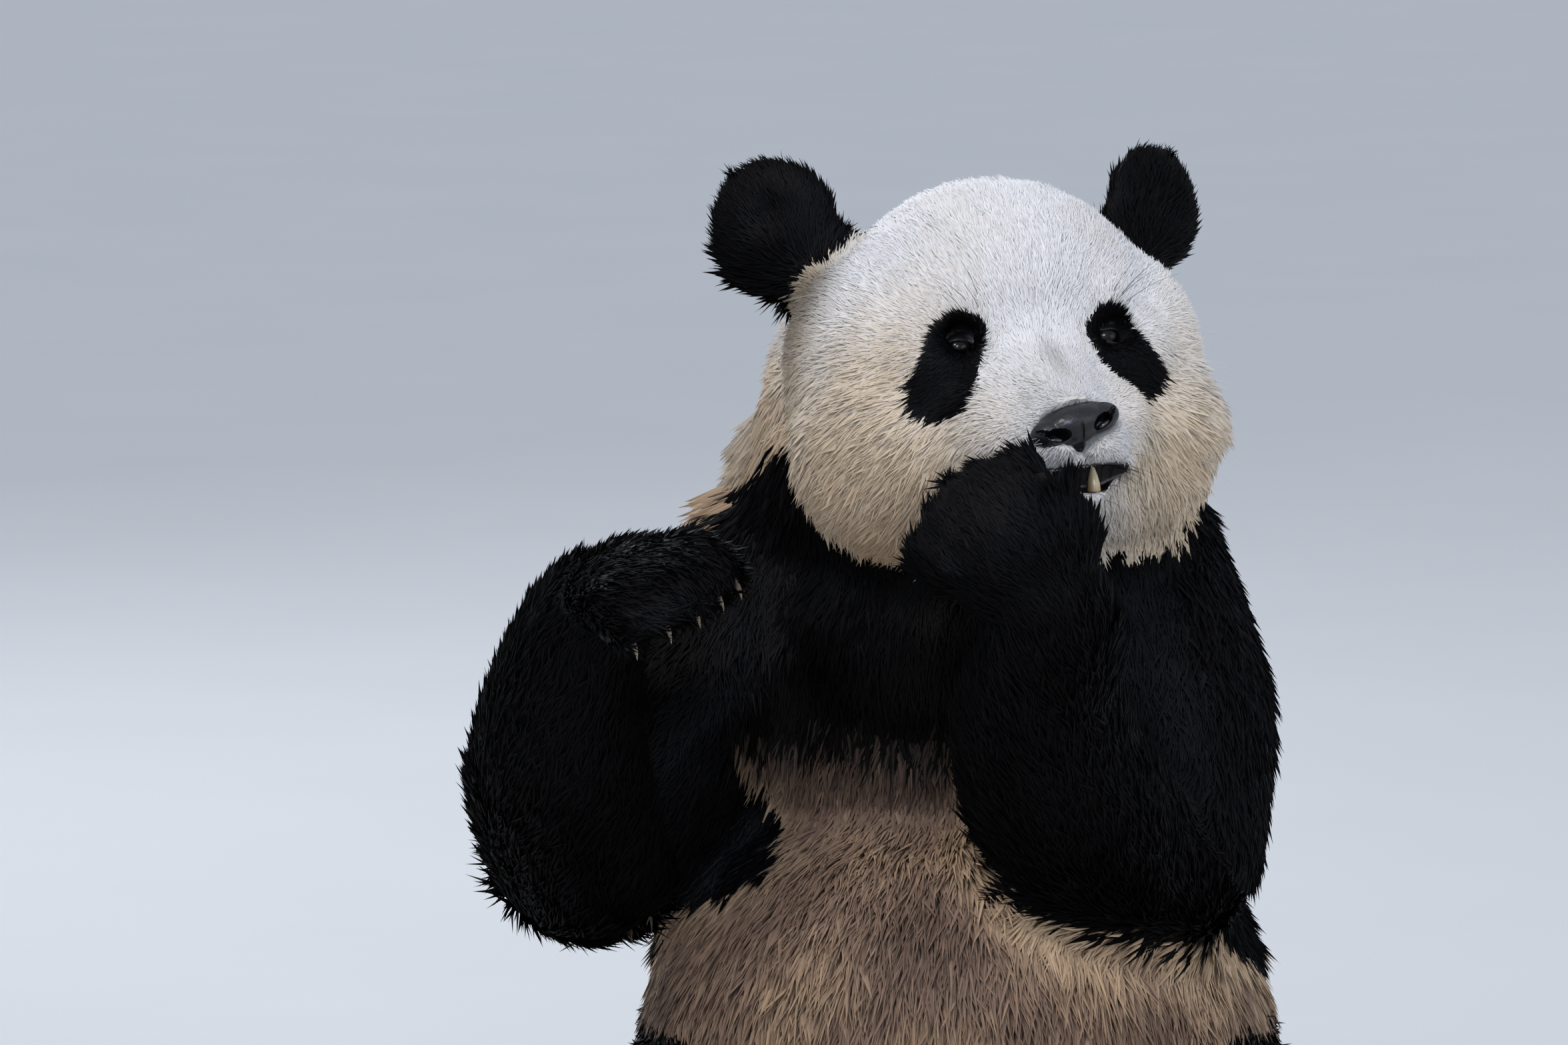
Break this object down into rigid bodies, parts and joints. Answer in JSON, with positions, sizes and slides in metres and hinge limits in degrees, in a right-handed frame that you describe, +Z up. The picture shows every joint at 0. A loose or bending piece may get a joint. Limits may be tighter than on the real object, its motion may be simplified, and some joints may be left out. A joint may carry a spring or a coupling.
{
  "type": "giant panda",
  "caption": "Life-size giant panda sitting upright on its rump, legs spread forward, one forepaw held before its mouth and the other beside its chest.",
  "frame": {"origin": "middle of the bounding box's bottom face, on the floor that the animal sits on", "axes": "+Z up; the trunk, soles and belly face -Y; +X towards the panda's left, which is the viewer's right"},
  "size_m": [0.7158, 0.8854, 0.8785],
  "materials": {
    "white_coat": "matt dense fur, cream white",
    "black_coat": "glossy dense fur, black",
    "nose_leather": "moist bare nose skin",
    "eye": "wet glossy eye, dark brown",
    "claw_horn": "smooth horn",
    "tooth": "glossy cream enamel"
  },
  "bodies": {
    "root": {"head": "white_coat", "jaw": "white_coat", "nose": "nose_leather", "ear_left": "black_coat", "ear_right": "black_coat", "eye_left": "eye", "eye_right": "eye", "tooth_left": "tooth", "tooth_right": "tooth", "neck": "white_coat", "chest": "black_coat", "belly": "white_coat", "tail": "white_coat", "upper_arm_left": "black_coat", "forearm_left": "black_coat", "hand_left": "black_coat", "claw_hand_left_1": "claw_horn", "claw_hand_left_2": "claw_horn", "claw_hand_left_3": "claw_horn", "claw_hand_left_4": "claw_horn", "claw_hand_left_5": "claw_horn", "upper_arm_right": "black_coat", "forearm_right": "black_coat", "hand_right": "black_coat", "claw_hand_right_1": "claw_horn", "claw_hand_right_2": "claw_horn", "claw_hand_right_3": "claw_horn", "claw_hand_right_4": "claw_horn", "claw_hand_right_5": "claw_horn", "thigh_left": "black_coat", "shank_left": "black_coat", "foot_left": "black_coat", "claw_foot_left_1": "claw_horn", "claw_foot_left_2": "claw_horn", "claw_foot_left_3": "claw_horn", "claw_foot_left_4": "claw_horn", "claw_foot_left_5": "claw_horn", "thigh_right": "black_coat", "shank_right": "black_coat", "foot_right": "black_coat", "claw_foot_right_1": "claw_horn", "claw_foot_right_2": "claw_horn", "claw_foot_right_3": "claw_horn", "claw_foot_right_4": "claw_horn", "claw_foot_right_5": "claw_horn"}
  },
  "joints": []
}
